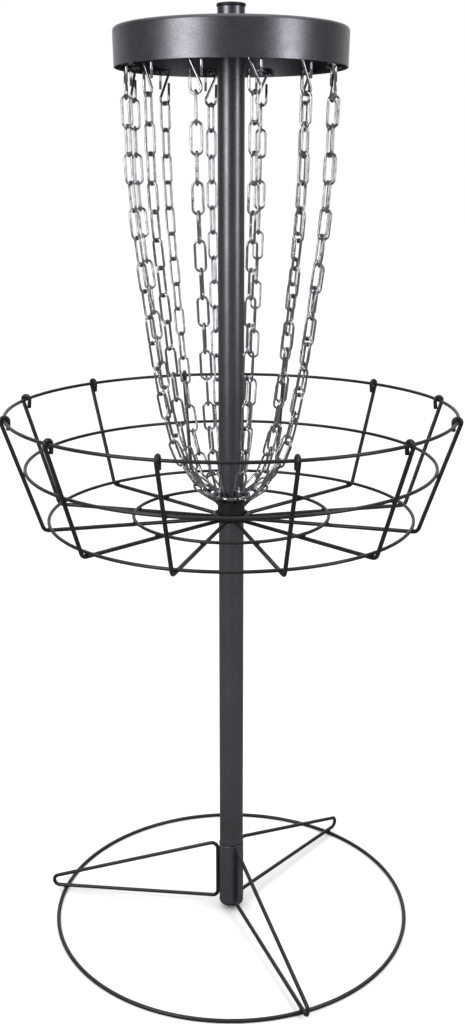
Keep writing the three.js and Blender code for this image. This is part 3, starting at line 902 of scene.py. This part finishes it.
def make_floor():
    """A floor that looks pale, and throws little of its light back up at the basket."""
    mesh = bpy.data.meshes.new("floor")
    signs = ((-1, -1), (1, -1), (1, 1), (-1, 1))
    corners = [(x * FLOOR_HALF, y * FLOOR_HALF, 0) for x, y in signs]
    mesh.from_pydata(corners, [], [(0, 1, 2, 3)])
    floor = bpy.data.objects.new("floor", mesh)
    bpy.context.scene.collection.objects.link(floor)
    finish = Finish("pale_floor", metallic=0.0, specular=0.1)
    pale = finish.ramp(finish.noise(3, 2), 0.3, 0.7, (0.88, 0.88, 0.88), (0.90, 0.90, 0.90))
    seen = finish.nodes.new("ShaderNodeLightPath").outputs["Is Camera Ray"]
    finish.colour(finish.product(pale, finish.grey_between(seen, FLOOR_BOUNCE, 1.0)))
    finish.roughness(finish.spread(finish.noise(20, 2), 0.85, 0.95))
    mesh.materials.append(finish.material)


def softbox(name, degrees, width, power):
    """A tall soft light off to one side, turned to the basket."""
    light = bpy.data.lights.new(name, "AREA")
    light.shape = "RECTANGLE"
    light.size = width
    light.size_y = SOFTBOX_TALL
    light.energy = power
    lamp = bpy.data.objects.new(name, light)
    lamp.location = radial(SOFTBOX_DISTANCE, SOFTBOX_HEIGHT, degrees)
    toward = Vector((0, 0, SOFTBOX_AIM)) - lamp.location
    lamp.rotation_euler = toward.to_track_quat("-Z", "Y").to_euler()
    lamp.visible_camera = False
    bpy.context.scene.collection.objects.link(lamp)


def overhead(name, power, seen_in_reflections):
    """A wide, even light from above."""
    light = bpy.data.lights.new(name, "SUN")
    light.energy = power
    light.angle = math.radians(OVERHEAD_SPREAD)
    lamp = bpy.data.objects.new(name, light)
    lamp.visible_glossy = seen_in_reflections
    bpy.context.scene.collection.objects.link(lamp)


def make_lights():
    softbox("left_softbox", degrees=-42, width=0.95, power=21)
    softbox("right_softbox", degrees=55, width=0.6, power=12.5)
    overhead("overhead_fill", power=1.9, seen_in_reflections=False)
    overhead("overhead_shine", power=1.5, seen_in_reflections=True)


def make_world():
    """A white background, while the light that it gives is dimmer at the front than behind."""
    world = bpy.data.worlds.new("studio")
    world.use_nodes = True
    nodes, links = world.node_tree.nodes, world.node_tree.links
    light = nodes["Background"]
    direction = nodes.new("ShaderNodeTexCoord").outputs["Generated"]
    split = nodes.new("ShaderNodeSeparateXYZ")
    links.new(direction, split.inputs["Vector"])
    strength = nodes.new("ShaderNodeMapRange")
    strength.inputs["From Min"].default_value = WORLD_DIM_TO
    strength.inputs["From Max"].default_value = 1.0
    strength.inputs["To Min"].default_value = WORLD_DIM
    strength.inputs["To Max"].default_value = WORLD_BRIGHT
    links.new(split.outputs["Y"], strength.inputs["Value"])
    links.new(strength.outputs["Result"], light.inputs["Strength"])
    light.inputs["Color"].default_value = (1, 1, 1, 1)
    white = nodes.new("ShaderNodeBackground")
    white.inputs["Color"].default_value = (1, 1, 1, 1)
    choice = nodes.new("ShaderNodeMixShader")
    seen = nodes.new("ShaderNodeLightPath").outputs["Is Camera Ray"]
    links.new(seen, choice.inputs["Fac"])
    links.new(light.outputs["Background"], choice.inputs[1])
    links.new(white.outputs["Background"], choice.inputs[2])
    links.new(choice.outputs["Shader"], nodes["World Output"].inputs["Surface"])
    bpy.context.scene.world = world


def make_camera():
    lens = bpy.data.cameras.new("camera")
    lens.lens = CAMERA_LENS
    lens.sensor_width = CAMERA_SENSOR
    camera = bpy.data.objects.new("camera", lens)
    camera.location = CAMERA_PLACE
    camera.rotation_euler = (math.radians(90 - CAMERA_DIP), 0, CAMERA_YAW)
    bpy.context.scene.collection.objects.link(camera)
    bpy.context.scene.camera = camera


make_camera()
make_floor()
make_lights()
make_world()
bpy.context.scene.view_settings.view_transform = "Standard"

make_stand()
make_poles()
make_tray()
make_pan()
make_chains()
